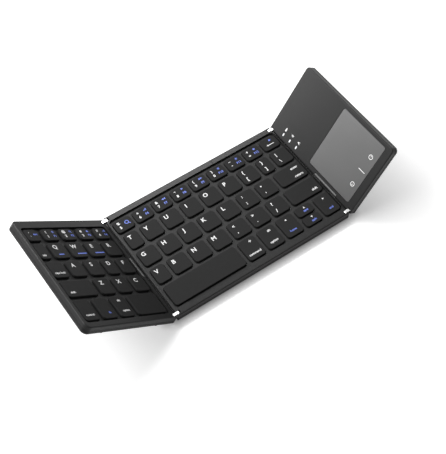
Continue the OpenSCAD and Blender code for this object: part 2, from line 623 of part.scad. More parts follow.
// ---- middle panel ----
module mid_bottom_shell() color("dimgray") difference() {
    union() {
        difference() {
            union() {
                mid_form(z_under, z_part - groove);
                mid_form(z_part - groove, z_part, groove);
            }
            shell_cavity(-mid_w / 2, mid_w / 2);
        }
        at(MID_SCREWS) boss();
        at(MID_POSTS) post();
        for (s = [0, 1]) translate([s * (mid_w - 2 * rib_in - rib_t), 0, 0])
            side_rib(-mid_w / 2 + rib_in, mid_well_y0 + rib_end, mid_well_y1 - rib_end, plate_z);
    }
    at(MID_SCREWS) screw_hole();
    at(MID_FEET) foot_hole();
    mid_hinge_cuts();
    translate([mid_w / 2, 0, 0]) cable_cut(right_cover_y);
    translate([-mid_w / 2, 0, 0]) rotate([0, 0, 180]) cable_cut(-left_cover_y);
    port_cut();
}
module mid_top_bezel() color("darkslategray") difference() {
    mid_form(z_part, z_top);
    translate([0, 0, z_part - 1]) linear_extrude(height = panel_t)
        rrect(-mid_well_w / 2, mid_well_w / 2, mid_well_y0, mid_well_y1, rep(key_r + key_margin_r, 4));
    block(-mid_w / 2 + lip_t, mid_w / 2 - lip_t, mid_well_y0, mid_well_y1, z_part - 1, plate_top);
    at(MID_SCREWS) screw_bore();
    mid_hinge_cuts();
    translate([mid_w / 2, 0, 0]) cable_cut(right_cover_y);
    translate([-mid_w / 2, 0, 0]) rotate([0, 0, 180]) cable_cut(-left_cover_y);
    port_cut();
    block(port_x - relief_w / 2, port_x + relief_w / 2, y_rear - relief_l, y_rear + 1, z_top - relief_depth, z_top + 1);
    translate([mid_key(0, 0)[0] + ledge_in, mid_well_y0, z_top]) intersection() {
        translate([0, 0, -ledge_depth]) linear_extrude(height = ledge_depth + 1)
            polygon([[0, key_r], [0, -ledge_w], [ledge_l, -ledge_w], [ledge_l + 2 * ledge_w, key_r]]);
        translate([-1, 0, 0]) rotate([90, 0, 90]) linear_extrude(height = ledge_l + 2 * ledge_w + 2)
            polygon([[-ledge_w, 0], [0, -ledge_depth], [2 * key_r, -ledge_depth], [2 * key_r, 2], [-ledge_w, 2]]);
    }
}
module mid_key_plate() color("slategray") translate([0, 0, plate_z]) linear_extrude(height = plate_t) difference() {
    translate([-mid_w / 2 + rib_in, mid_well_y0 + plate_clear])
        square([mid_w - 2 * rib_in, mid_well_y1 - mid_well_y0 - 2 * plate_clear]);
    plate_holes(MID_KEYS);
}
module mid_dome_sheet() color("silver") {
    block(-mid_w / 2 + film_inset, mid_w / 2 - film_inset, mid_well_y0 + key_margin_front, mid_board_y1,
        board_top, board_top + film_t);
    domes(MID_KEYS);
}
module mid_circuit_board() color("green")
    block(-mid_w / 2 + board_inset, mid_w / 2 - board_inset, mid_board_y0, mid_board_y1, board_bottom, board_top);
module mid_battery_cell() color("lightsteelblue") translate([0, 0, z_floor])
    linear_extrude(height = battery_t)
        rrect(-battery_l / 2, battery_l / 2, -battery_d / 2, battery_d / 2, rep(battery_r, 4));
module mid_charging_port() color("lightgray") {
    difference() {
        translate([0, port_y1, 0]) rotate([90, 0, 0]) linear_extrude(height = port_l) port_outline(0);
        translate([0, port_y1 + 1, 0]) rotate([90, 0, 0]) linear_extrude(height = port_l + 1 - port_t) port_outline(-port_t);
    }
    block(port_x - tongue_w / 2, port_x + tongue_w / 2, port_y0 + port_t - eps, port_y1 - tongue_back,
        port_z - tongue_t / 2, port_z + tongue_t / 2);
}
module mid_feet() color("black") at(MID_FEET) foot();
module mid_screws() color("gainsboro") at(MID_SCREWS) cross_screw();

// ---- left wing ----
module left_bottom_shell() color("dimgray") on_left() difference() {
    union() {
        difference() {
            union() {
                left_form(z_under, z_part - groove);
                left_form(z_part - groove, z_part, groove);
            }
            shell_cavity(-left_w, 0);
        }
        at(LEFT_SCREWS) boss();
        at(LEFT_POSTS) post();
        side_rib(-left_w + rib_in, left_well_y0 + rib_end, left_well_y1 - rib_end, plate_z);
        side_rib(-wing_inner_rail - rib_t, left_well_y0 + rib_end, left_well_y1 - rib_end, board_bottom);
    }
    at(LEFT_SCREWS) screw_hole();
    at(LEFT_FEET) foot_hole();
    hinge_cut();
    cable_cut(left_cover_y);
}
module left_top_bezel() color("darkslategray") on_left() difference() {
    left_form(z_part, z_top);
    translate([0, 0, z_part - 1]) linear_extrude(height = panel_t)
        rrect(-left_w + wing_outer_rail, -wing_inner_rail, left_well_y0, left_well_y1, rep(key_r, 4));
    block(-left_w + lip_t, -wing_inner_rail, left_well_y0, left_well_y1, z_part - 1, plate_top);
    block(-wing_inner_rail - eps, -lip_t - rib_t, left_well_y0 + key_r, left_well_y1 - key_r, z_part - 1, board_top + cable_t + cable_clear);
    at(LEFT_SCREWS) screw_bore();
    hinge_cut();
    cable_cut(left_cover_y);
    cover_notch(left_cover_y, left_cover_l);
}
module left_key_plate() color("slategray") on_left() translate([0, 0, plate_z]) linear_extrude(height = plate_t) difference() {
    translate([-left_w + rib_in, left_well_y0 + plate_clear])
        square([left_w - rib_in - wing_inner_rail - plate_clear, left_well_y1 - left_well_y0 - 2 * plate_clear]);
    plate_holes(LEFT_KEYS);
}
module left_dome_sheet() color("silver") on_left() {
    block(-left_w + film_inset, -film_inset, left_well_y0 + key_margin_front, left_board_y1,
        board_top, board_top + film_t);
    domes(LEFT_KEYS);
}
module left_circuit_board() color("green") on_left()
    block(-left_w + board_inset, -board_inset, left_board_y0, left_board_y1, board_bottom, board_top);
module flex_cover(y, l) {
    translate([0, y + l / 2 - cover_clear, 0]) rotate([90, 0, 0]) {
        translate([0, pin_z]) cylinder(r = hinge_r - cover_clear, h = l - 2 * cover_clear, $fn = 64);
        translate([-hinge_r / 2, slot_z, 0]) cube([hinge_r, hinge_r, l - 2 * cover_clear]);
    }
}
module left_flex_cover() color("gray") on_left() translate([-hinge_r, 0, 0]) flex_cover(left_cover_y, left_cover_l);
module left_feet() color("black") on_left() at(LEFT_FEET) foot();
module left_screws() color("gainsboro") on_left() at(LEFT_SCREWS) cross_screw();

// ---- right wing ----
touch_x1 = touch_x + touch_w;
touch_y0 = y_front + touch_y;
touch_y1 = touch_y0 + touch_d;
touch_top = z_top - touch_drop;
sensor_bottom = touch_top - touch_t - sensor_t;
LIGHTS = [for (i = [0:2]) [light_x, y_rear - light_y - i * light_pitch]];
module touch_outline(grow) rrect(touch_x - grow, touch_x1 + grow, touch_y0 - grow, touch_y1 + grow, rep(touch_r + grow, 4));
module light_outline(grow) rrect(-light_l / 2 - grow, light_l / 2 + grow, -light_w / 2 - grow, light_w / 2 + grow,
    rep(light_w / 2 + grow - eps, 4));
module right_bottom_shell() color("dimgray") on_right() difference() {
    union() {
        difference() {
            union() {
                right_form(z_under, z_part - groove);
                right_form(z_part - groove, z_part, groove);
            }
            shell_cavity(0, touch_wing_w);
        }
        at(RIGHT_SCREWS) boss();
        at(RIGHT_POSTS) post();
    }
    at(RIGHT_SCREWS) screw_hole();
    at(RIGHT_FEET) foot_hole();
    rotate([0, 0, 180]) hinge_cut();
    rotate([0, 0, 180]) cable_cut(-right_cover_y);
}
module right_top_cover() color("darkslategray") on_right() difference() {
    union() {
        difference() {
            right_form(z_part, z_top);
            block(2 * hinge_r, touch_wing_w - wall_t, y_front + front_bezel, y_rear - rear_bezel, z_part - 1, z_top - cover_t);
            block(wall_t, 2 * hinge_r + 1, y_front + front_bezel, y_rear - rear_bezel, z_part - 1, board_top + cable_t + cable_clear);
        }
        translate([0, 0, sensor_bottom - touch_ledge_t]) linear_extrude(height = touch_ledge_t + sensor_t) difference() {
            touch_outline(touch_clear + touch_ledge_t);
            touch_outline(-touch_ledge);
        }
    }
    translate([0, 0, sensor_bottom]) linear_extrude(height = panel_t) touch_outline(touch_clear);
    translate([0, 0, z_part - 1]) at(LIGHTS) linear_extrude(height = panel_t) light_outline(light_clear);
    at(RIGHT_SCREWS) screw_bore();
    rotate([0, 0, 180]) hinge_cut();
    rotate([0, 0, 180]) cable_cut(-right_cover_y);
    rotate([0, 0, 180]) cover_notch(-right_cover_y, right_cover_l);
}
module right_touch_plate() color("gray") on_right() translate([0, 0, touch_top - touch_t])
    linear_extrude(height = touch_t) touch_outline(0);
module right_touch_sensor() color("green") on_right() translate([0, 0, sensor_bottom])
    linear_extrude(height = sensor_t) touch_outline(0);
module right_circuit_board() color("green") on_right()
    block(board_inset, touch_wing_w - board_inset, right_board_y0, right_board_y1, board_bottom, board_top);
module right_light_guides() color("white") on_right() translate([0, 0, board_top]) at(LIGHTS)
    linear_extrude(height = z_top - board_top - eps) light_outline(0);
module right_flex_cover() color("gray") on_right() translate([hinge_r, 0, 0]) flex_cover(right_cover_y, right_cover_l);
module right_feet() color("black") on_right() at(RIGHT_FEET) foot();
module right_screws() color("gainsboro") on_right() at(RIGHT_SCREWS) cross_screw();

// ---- hinge links, flat at rest ----
seam_x = mid_w / 2 + panel_gap / 2;
pin_half = panel_gap / 2 + hinge_r;
module link_bar() rotate([90, 0, 0]) translate([0, 0, -link_w / 2]) linear_extrude(height = link_w) difference() {
    rrect(-pin_half - link_r, pin_half + link_r, pin_z - link_r, pin_z + link_r, rep(link_r - eps, 4));
    for (s = [-1, 1]) translate([s * pin_half, pin_z]) circle(r = pin_r, $fn = 48);
}
module link_pins() for (s = [-1, 1]) translate([s * pin_half, 0, pin_z]) both_ends()
    translate([0, link_w / 2 + pin_outer, 0]) rotate([90, 0, 0]) cylinder(r = pin_r, h = link_w + pin_outer + pin_inner, $fn = 48);
module left_rear_link() color("silver") translate([-seam_x, link_y, 0]) link_bar();
module left_front_link() color("silver") translate([-seam_x, -link_y, 0]) link_bar();
module left_hinge_pins() color("gold") translate([-seam_x, 0, 0]) link_pins();
module right_rear_link() color("silver") translate([seam_x, link_y, 0]) link_bar();
module right_front_link() color("silver") translate([seam_x, -link_y, 0]) link_bar();
module right_hinge_pins() color("gold") translate([seam_x, 0, 0]) link_pins();

// ---- flat cables across the seams, for the rest angles ----
cable_z = board_top + cable_t / 2;
cable_in = board_inset + cable_lap;
// point of a wing's flat frame (distance s from its hinge wall, height z) in the seam frame
function wing_pt(s, z, a) = [panel_gap + hinge_r + (s - hinge_r) * cos(a) - (z - pin_z) * sin(a),
    pin_z + (s - hinge_r) * sin(a) + (z - pin_z) * cos(a)];
// strip of thickness t along a path, square at both ends
function strip_n(p, i) = let (a = p[max(i - 1, 0)], b = p[min(i + 1, len(p) - 1)], d = b - a) [-d[1], d[0]] / norm(d);
module strip(p, t) polygon(concat([for (i = [0:len(p) - 1]) p[i] + strip_n(p, i) * t / 2],
    [for (i = [len(p) - 1:-1:0]) p[i] - strip_n(p, i) * t / 2]));
module flex_cable(a) rotate([90, 0, 0]) translate([0, 0, -cable_w / 2]) linear_extrude(height = cable_w)
    strip([[-cable_in, cable_z], [-0.3, cable_z], wing_pt(0.3, cable_z, a), wing_pt(cable_in, cable_z, a)], cable_t);
module left_flex_cable() color("orange") translate([-mid_w / 2, left_cover_y, 0]) mirror([1, 0, 0]) flex_cable(left_angle);
module right_flex_cable() color("orange") translate([mid_w / 2, right_cover_y, 0]) flex_cable(right_angle);

// ---- keys ----
module keys_mid_numbers() color("#303030") for (i = [0:7]) keycap(mid_key(4, i));
module key_backspace() color("#303030") keycap(mid_key(4, 8));
module keys_mid_upper() color("#303030") for (i = [0:7]) keycap(mid_key(3, i));
module key_backslash() color("#303030") keycap(mid_key(3, 8));
module keys_mid_home() color("#303030") for (i = [0:6]) keycap(mid_key(2, i));
module key_enter() color("#303030") keycap(mid_key(2, 7));
module keys_mid_lower() color("#303030") for (i = [0:6]) keycap(mid_key(1, i));
module key_right_shift() color("#303030") keycap(mid_key(1, 7));
module key_space_bar() color("#303030") keycap(mid_key(0, 0));
module key_command() color("#303030") keycap(mid_key(0, 1));
module key_right_option() color("#303030") keycap(mid_key(0, 2));
module key_arrow_left() color("#303030") keycap(mid_key(0, 3));
module key_arrow_up() color("#303030") keycap(ARROW_UP);
module key_arrow_down() color("#303030") keycap(ARROW_DOWN);
module key_arrow_right() color("#303030") keycap(mid_key(0, 5));
module keys_left_numbers() color("#303030") on_left() for (i = [0:4]) keycap(left_key(4, i));
module keys_left_upper() color("#303030") on_left() for (i = [0:3]) keycap(left_key(3, i));
module key_tab() color("#303030") on_left() keycap(left_key(3, 4));
module keys_left_home() color("#303030") on_left() for (i = [0:3]) keycap(left_key(2, i));
module key_caps_lock() color("#303030") on_left() keycap(left_key(2, 4));
module keys_left_lower() color("#303030") on_left() for (i = [0:2]) keycap(left_key(1, i));
module key_left_shift() color("#303030") on_left() keycap(left_key(1, 3));
module key_left_space() color("#303030") on_left() keycap(left_key(0, 0));
module key_left_option() color("#303030") on_left() keycap(left_key(0, 1));
module key_function() color("#303030") on_left() keycap(left_key(0, 2));
module key_control() color("#303030") on_left() keycap(left_key(0, 3));

mid_bottom_shell();
mid_top_bezel();
mid_key_plate();
mid_dome_sheet();
mid_circuit_board();
mid_battery_cell();
mid_charging_port();
mid_feet();
mid_screws();
left_bottom_shell();
left_top_bezel();
left_key_plate();
left_dome_sheet();
left_circuit_board();
left_flex_cover();
left_feet();
left_screws();
right_bottom_shell();
right_top_cover();
right_touch_plate();
right_touch_sensor();
right_circuit_board();
right_light_guides();
right_flex_cover();
right_feet();
right_screws();
left_rear_link();
left_front_link();
left_hinge_pins();
right_rear_link();
right_front_link();
right_hinge_pins();
left_flex_cable();
right_flex_cable();
keys_mid_numbers();
key_backspace();
keys_mid_upper();
key_backslash();
keys_mid_home();
key_enter();
keys_mid_lower();
key_right_shift();
key_space_bar();
key_command();
key_right_option();
key_arrow_left();
key_arrow_up();
key_arrow_down();
key_arrow_right();
keys_left_numbers();
keys_left_upper();
key_tab();
keys_left_home();
key_caps_lock();
keys_left_lower();
key_left_shift();
key_left_space();
key_left_option();
key_function();
key_control();
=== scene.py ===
# %% [markdown]
# # A folding keyboard, dressed on its measured frame
# The keyboard has three flat panels: a middle one with most of the keys, a left wing
# with the rest, and a right wing with a touch plate. The solids come from the packed
# model, in metres, so this lesson adds what a solid can't say: the finish of each
# plastic, the printed legends, the cables that bend, the floor, the light and the camera.

# %% Load the frame
import math
import bpy
import bmesh
from mathutils import Matrix, Vector


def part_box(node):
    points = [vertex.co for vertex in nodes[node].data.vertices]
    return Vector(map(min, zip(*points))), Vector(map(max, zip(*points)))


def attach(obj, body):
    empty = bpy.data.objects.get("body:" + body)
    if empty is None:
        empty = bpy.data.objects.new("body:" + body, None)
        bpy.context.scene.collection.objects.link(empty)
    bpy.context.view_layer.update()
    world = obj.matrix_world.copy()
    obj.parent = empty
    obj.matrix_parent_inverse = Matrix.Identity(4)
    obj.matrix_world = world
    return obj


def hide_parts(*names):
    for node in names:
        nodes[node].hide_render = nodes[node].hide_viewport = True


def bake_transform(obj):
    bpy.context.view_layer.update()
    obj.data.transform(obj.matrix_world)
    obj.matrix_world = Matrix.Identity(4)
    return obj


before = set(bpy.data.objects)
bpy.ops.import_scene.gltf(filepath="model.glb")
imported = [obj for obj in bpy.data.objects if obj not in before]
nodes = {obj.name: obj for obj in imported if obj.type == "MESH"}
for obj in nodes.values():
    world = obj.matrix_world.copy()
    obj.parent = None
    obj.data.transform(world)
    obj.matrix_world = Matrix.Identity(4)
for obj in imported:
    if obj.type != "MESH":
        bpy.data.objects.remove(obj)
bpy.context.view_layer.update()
MM = 0.001  # one millimetre in metres, the unit of the scene

# %% [markdown]
# ## Shader maths as plain expressions
# A material in Blender is a graph of nodes. Building it link by link is slow to read,
# so one small class wraps a socket: `grain * 0.4 + 0.3` then adds the two Math nodes
# by itself. Colours never pass through Math nodes, because those turn a colour grey.

# %% A wrapped socket
class Wire:
    """One output socket that can be used in an expression."""

    def __init__(self, desk, socket):
        self.desk = desk
        self.socket = socket

    def _math(self, operation, first, second):
        return self.desk.node("ShaderNodeMath", {"operation": operation}, {0: first, 1: second}).out(0)

    def __add__(self, other):
        return self._math("ADD", self, other)

    __radd__ = __add__

    def __mul__(self, other):
        return self._math("MULTIPLY", self, other)

    __rmul__ = __mul__

    def __sub__(self, other):
        return self._math("SUBTRACT", self, other)

    def __rsub__(self, other):
        return self._math("SUBTRACT", other, self)


# %% A desk that adds nodes
class Placed:
    """A node that has been added, whose outputs are read as wires."""

    def __init__(self, desk, raw):
        self.desk = desk
        self.raw = raw

    def out(self, key):
        return Wire(self.desk, self.raw.outputs[key])


class Desk:
    """The work desk of one material, or of the world: every node comes from `node`."""

    def __init__(self, name, shelf=None):
        self.owner = (bpy.data.materials if shelf is None else shelf).new(name)
        self.owner.use_nodes = True
        self.tree = self.owner.node_tree
        self.tree.nodes.clear()

    def node(self, kind, settings=None, inputs=None):
        raw = self.tree.nodes.new(kind)
        for key, value in (settings or {}).items():
            setattr(raw, key, value)
        for key, value in (inputs or {}).items():
            if isinstance(value, Wire):
                self.tree.links.new(value.socket, raw.inputs[key])
            else:
                raw.inputs[key].default_value = value
        return Placed(self, raw)

    def finish(self, shader, end="ShaderNodeOutputMaterial"):
        self.node(end, {}, {"Surface": shader})
        return self.owner

    def place(self):
        """Where a point of the piece lies at rest, in metres."""
        return self.node("ShaderNodeTexCoord").out("Object")

    def noise(self, scale, detail=2.0, roughness=0.5, stretch=None):
        where = self.place()
        if stretch:
            where = self.node("ShaderNodeMapping", {}, {"Vector": where, "Scale": stretch}).out(0)
        return self.node("ShaderNodeTexNoise", {}, {
            "Vector": where, "Scale": scale, "Detail": detail, "Roughness": roughness}).out("Fac")

    def mix(self, factor, low, high):
        """Two colours mixed by a value. Sockets 6 and 7 are the Mix node's colours."""
        return self.node("ShaderNodeMix", {"data_type": "RGBA"}, {0: factor, 6: low, 7: high}).out(2)

    def bump(self, height, strength, depth_mm):
        """A normal from a height, for relief of that depth."""
        return self.node("ShaderNodeBump", {}, {
            "Strength": strength, "Distance": depth_mm * MM, "Height": height}).out(0)

    def skin(self, **sockets):
        """The material of a surface, with sockets named in words joined by underlines."""
        named = {key.replace("_", " "): value for key, value in sockets.items()}
        return self.finish(self.node("ShaderNodeBsdfPrincipled", {}, named).out(0))


def grey(value):
    """A neutral colour of that linear strength."""
    return (value, value, value, 1.0)


print("shader desk ready")

# %% [markdown]
# ## Moulded plastic
# The shells, frames and keycaps are injection moulded. Seen close, such plastic has a
# fine spark-eroded grain from the mould and slow changes of tone and sheen from
# handling. The grain is a bump from a very fine noise, and the sheen goes into the
# roughness. A texture image could do it too, but noise needs no unwrapping.

# %% Plastic recipe
BROAD, SMALL = 55.0, 260.0  # noise scales per metre, for patches of about 18 and 4 mm
BROAD_SHARE = 0.7  # how much of the tone follows the broad patches


def moulded(name, tone, rough, grain_mm, grain_depth, sheen_change=0.08, handled=0.15, gloss=0.5):
    """Satin plastic: patches vary its tone and sheen, and a fine noise is its grain."""
    desk = Desk(name)
    slow = desk.noise(BROAD, detail=3.0)
    spots = desk.noise(SMALL)
    fine = desk.noise(1.0 / (grain_mm * MM), roughness=0.6)
    tint = desk.mix(slow * BROAD_SHARE + spots * (1 - BROAD_SHARE),
                    grey(tone * (1 - handled)), grey(tone * (1 + handled)))
    return desk.skin(Base_Color=tint, Roughness=rough + (slow - 0.5) * sheen_change,
                     Normal=desk.bump(fine, 0.6, grain_depth), Specular_IOR_Level=gloss)


# name, tone, roughness, width and depth of the grain in millimetres
keycap_plastic = moulded("keycap_satin", 0.0180, 0.48, 0.30, 0.008, gloss=0.06)
plate_plastic = moulded("well_floor_satin", 0.018, 0.42, 0.35, 0.005, gloss=0.15)
shell_plastic = moulded("shell_grained", 0.017, 0.42, 0.40, 0.012, gloss=0.10)
cover_plastic = moulded("cover_satin", 0.019, 0.27, 0.28, 0.0015, sheen_change=0.01, handled=0.03, gloss=0.14)
touch_silk = moulded("touch_silk", 0.054, 0.30, 0.18, 0.003, handled=0.05, gloss=0.70)
hinge_plastic = moulded("hinge_cover_satin", 0.030, 0.42, 0.30, 0.004)
foot_rubber = moulded("foot_rubber", 0.020, 0.80, 0.50, 0.040)
print("moulded finishes:", [m.name for m in (keycap_plastic, plate_plastic, shell_plastic, cover_plastic,
                                             touch_silk, hinge_plastic, foot_rubber)])

# %% [markdown]
# ## Bright metal and plain steel
# The two link bars of each hinge are polished, so they mirror the white room. A trace
# of fine scratches in the roughness keeps them from looking like glass.

# %% Metals
def metal(name, tone, rough, scratch_scale):
    """Bare metal with smears and scratches; a larger factor makes them finer along that axis."""
    desk = Desk(name)
    scratches = desk.noise(900.0, detail=4.0, stretch=scratch_scale)
    smear = desk.noise(150.0)
    return desk.skin(Base_Color=desk.mix(smear, grey(tone * 0.9), grey(tone)), Metallic=1.0,
                     Roughness=rough + scratches * 0.12, Normal=desk.bump(scratches, 0.2, 0.01))


bright_metal = metal("link_polished", 0.60, 0.20, (1.0, 8.0, 1.0))
plain_steel = metal("steel_plain", 0.55, 0.28, (6.0, 1.0, 1.0))
print("metals ready")

# %% [markdown]
# ## Inner pieces
# Boards, cable film, the silicone domes and the battery pouch show in small gaps or
# not at all, but each still gets its own finish, because a piece may be looked at by
# itself. Tracks and chips on the boards would cost many faces that stay hidden, so a
# fine relief stands for them, and one cloudy recipe serves the films and the rubber.

# %% Board, film, silicone and pouch
def coated_board(name):
    """Green lacquer over a woven board."""
    desk = Desk(name)
    weave = desk.node("ShaderNodeTexVoronoi", {}, {"Vector": desk.place(), "Scale": 900.0}).out("Distance")
    blotch = desk.noise(120.0, detail=3.0)
    tint = desk.mix(blotch, (0.012, 0.070, 0.030, 1), (0.020, 0.110, 0.045, 1))
    return desk.skin(Base_Color=tint, Roughness=0.3 + blotch * 0.2, Normal=desk.bump(weave, 0.3, 0.02))


def soft_film(name, low, high, rough, scale):
    """A film or rubber whose colour drifts between two tones."""
    desk = Desk(name)
    cloud = desk.noise(scale, detail=3.0)
    return desk.skin(Base_Color=desk.mix(cloud, low, high), Roughness=rough + cloud * 0.15,
                     Normal=desk.bump(cloud, 0.3, 0.02))


board_coat = coated_board("board_green")
cable_film = soft_film("cable_dark_film", (0.010, 0.009, 0.008, 1), (0.020, 0.017, 0.014, 1), 0.45, 300.0)
silicone = soft_film("silicone_milky", (0.50, 0.50, 0.48, 1), (0.62, 0.62, 0.60, 1), 0.5, 250.0)
cell_pouch = soft_film("cell_pouch", (0.42, 0.42, 0.44, 1), (0.55, 0.55, 0.57, 1), 0.3, 90.0)
light_plastic = soft_film("light_guide_milky", (0.72, 0.73, 0.75, 1), (0.85, 0.86, 0.88, 1), 0.25, 400.0)
print("inner finishes ready")

# %% [markdown]
# ## Put each finish on its solids
# A CAD node keeps its mesh and only swaps the material in its slot. Sixty lines, one
# for each node, would hide the few choices, so a short table goes by parts of names.

# %% Dress the solids
FINISHES = (("bottom_shell", shell_plastic), ("top_bezel", cover_plastic), ("top_cover", cover_plastic),
            ("key_", keycap_plastic), ("keys_", keycap_plastic), ("key_plate", plate_plastic),
            ("touch_plate", touch_silk), ("flex_cover", hinge_plastic), ("_link", bright_metal),
            ("screws", plain_steel), ("pins", plain_steel), ("charging_port", plain_steel),
            ("feet", foot_rubber), ("circuit_board", board_coat), ("touch_sensor", board_coat),
            ("flex_cable", cable_film), ("dome_sheet", silicone), ("battery", cell_pouch),
            ("light_guides", light_plastic))  # a later entry wins, so key plates aren't taken for keys
for word, finish in FINISHES:
    for name, piece in nodes.items():
        if word in name:
            piece.data.materials.clear()
            piece.data.materials.append(finish)
bare = [n for n, o in nodes.items() if not o.data.materials]
print("dressed:", len(nodes) - len(bare), "left bare:", bare)

# %% [markdown]
# ## Where every key lies
# The legends have to sit on their keys, so the key rows are written down once, as
# widths and gaps in millimetres, just as the solids have them. Each panel has a flat
# frame of its own; a matrix turns a wing's flat frame to its rest angle.

# %% Panel frames
GAP = 0.5  # between two panels that lie flat
PIN = 1.85  # from a panel's hinge wall, and from its top, to the pin
TOP, KEY_TOP, PLATE_TOP = 8.0, 7.9, 7.9  # heights of the frames, the keys and the touch plate
MID_W, PANEL_D, LEFT_W = 154.0, 101.1, 85.65  # widths, and the depth of all three panels
LEFT_ANGLE, RIGHT_ANGLE = math.radians(38.8), math.radians(56.0)  # how far the wings are raised


def wing(side, angle):
    """The matrix that turns a wing's flat frame up round its outer pin."""
    out = Matrix.Translation((side * (MID_W / 2 + GAP + PIN) * MM, 0, (TOP - PIN) * MM))
    turn = Matrix.Rotation(-side * angle, 4, "Y")
    back = Matrix.Translation((-side * PIN * MM, 0, -(TOP - PIN) * MM))
    return out @ turn @ back


PANELS = {"mid": Matrix.Identity(4), "left": wing(-1, LEFT_ANGLE), "right": wing(1, RIGHT_ANGLE)}
print("left wing rises to", round((PANELS["left"] @ Vector((-LEFT_W * MM, 0, TOP * MM))).z / MM, 1), "mm")

# %% Key rows, from the front: (gap, inset, widths)
ROW_DEPTH = [19.0, 15.2, 15.2, 15.2, 11.6]
ROW_SPACE = [2.5, 2.8, 2.8, 2.3]
MID_ROWS = [(2.65, 0.85, [62.0, 14.7, 14.7, 14.7, 14.9, 14.2]), (2.65, 0.85, [11.75] + [15.0] * 6 + [28.15]),
            (2.65, 0.85, [15.0] * 7 + [24.9]), (2.65, 0.85, [11.25] + [15.0] * 6 + [11.0, 15.0]),
            (1.9, 0.0, [14.9] * 9)]
LEFT_ROWS = [(3.0, 0.0, [28.0, 13.2, 13.2, 13.4]), (3.0, 0.0, [13.5] * 3 + [27.3]),
             (3.0, 0.0, [12.5, 11.4, 13.55, 13.55, 13.8]), (3.0, 0.0, [13.8] * 4 + [9.6]),
             (3.0, 0.0, [13.2] * 4 + [12.0])]
# where the first key begins: the well's edge and the margin inside it
MID_START, LEFT_START = -75.425 + 1.1, -(4.45 + 1.1)
MID_FRONT, LEFT_FRONT = -PANEL_D / 2 + 5.65 + 1.4, -PANEL_D / 2 + 4.45 + 1.4


def key_box(panel, row, column):
    """(x0, x1, y0, y1) of a keycap in its panel's flat frame, in millimetres."""
    gap, inset, widths = (MID_ROWS if panel == "mid" else LEFT_ROWS)[row]
    along = inset + sum(widths[:column]) + gap * column
    y0 = (MID_FRONT if panel == "mid" else LEFT_FRONT) + sum(ROW_DEPTH[:row]) + sum(ROW_SPACE[:row])
    if panel == "mid":
        x0 = MID_START + along
        return x0, x0 + widths[column], y0, y0 + ROW_DEPTH[row]
    x1 = LEFT_START - along
    return x1 - widths[column], x1, y0, y0 + ROW_DEPTH[row]


low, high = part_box("key_enter")
mine = key_box("mid", 2, 7)
print("enter key, solid against table:", [round(v, 2) for v in (low.x / MM - mine[0], high.x / MM - mine[1])])

# %% [markdown]
# ## Printed legends
# The letters on such keys are ink, a few hundredths of a millimetre thick. A font
# curve filled and raised by that much is the simplest true form: it casts no visible
# edge, yet stays sharp at any size. All the marks of one key body and one ink become
# one mesh, so the legends travel with their key.

# %% Inks
def ink(name, low, high):
    """Printing ink with a fine speckle between two tones."""
    desk = Desk(name)
    speck = desk.noise(1800.0)
    return desk.skin(Base_Color=desk.mix(speck, low, high), Roughness=0.45 + speck * 0.1)


INKS = {"white": ink("ink_white", (0.74, 0.74, 0.74, 1), (0.86, 0.86, 0.86, 1)),
        "blue": ink("ink_blue", (0.10, 0.16, 0.62, 1), (0.15, 0.22, 0.72, 1))}
INK_UP = 0.02  # thickness of the ink, in millimetres
BOLD, THIN = 0.12, 0.065  # how far strokes are widened, in millimetres
CAP_SHARE = 0.729  # height of a capital in the built-in font, as a share of its size
marks = {}


def lay(body, colour, panel, mesh_points, faces):
    """Keep a flat shape, given in the panel's flat frame in millimetres, for that body and ink."""
    marks.setdefault((body, colour), []).append((panel, mesh_points, faces))


# %% Words and letters
def flat_text(words, cap_height, weight):
    """Points and faces of filled letters, with strokes widened by the weight."""
    curve = bpy.data.curves.new("legend", "FONT")
    curve.body = words
    curve.size = cap_height / CAP_SHARE
    curve.offset = weight
    curve.resolution_u = 3  # enough points for a rounded letter of this size
    holder = bpy.data.objects.new("legend", curve)
    mesh = bpy.data.meshes.new_from_object(holder)
    points = [v.co.copy() for v in mesh.vertices]
    faces = [list(p.vertices) for p in mesh.polygons]
    bpy.data.objects.remove(holder)
    bpy.data.curves.remove(curve)
    bpy.data.meshes.remove(mesh)
    return points, faces


def write(body, panel, words, x, y, cap_height, colour="white", align="centre"):
    """Words round (x, y), or from x leftward or rightward; small print gets thinner strokes."""
    points, faces = flat_text(words, cap_height, BOLD if len(words) == 1 else THIN)
    if not points:
        print("no shape for", repr(words))
        return
    left, right = min(p.x for p in points), max(p.x for p in points)
    down, up = min(p.y for p in points), max(p.y for p in points)
    shift_x = {"centre": x - (left + right) / 2, "left": x - left, "right": x - right}[align]
    shift_y = y - (down + up) / 2
    lay(body, colour, panel, [(p.x + shift_x, p.y + shift_y) for p in points], faces)


def shape(body, panel, outline, x, y, colour="white"):
    """A flat polygon whose corners are given round (x, y)."""
    lay(body, colour, panel, [(x + px, y + py) for px, py in outline], [list(range(len(outline)))])


def ring(body, panel, x, y, outer, inner, colour="white", steps=32, start=0.0, sweep=360.0):
    """A ring, or the part of it that the sweep in degrees covers."""
    turn = [math.radians(start + sweep * i / steps) for i in range(steps + 1)]
    points = [(x + outer * math.cos(t), y + outer * math.sin(t)) for t in turn]
    points += [(x + inner * math.cos(t), y + inner * math.sin(t)) for t in turn]
    n = steps + 1
    lay(body, colour, panel, points, [[i, i + 1, n + i + 1, n + i] for i in range(steps)])


print("legend tools ready")

# %% [markdown]
# ## Letters and signs
# Letter keys carry one letter near their rear left corner. Keys with two signs have
# one above the other there. Each place is counted from the key's own edges, so a mark
# can't drift off its key.

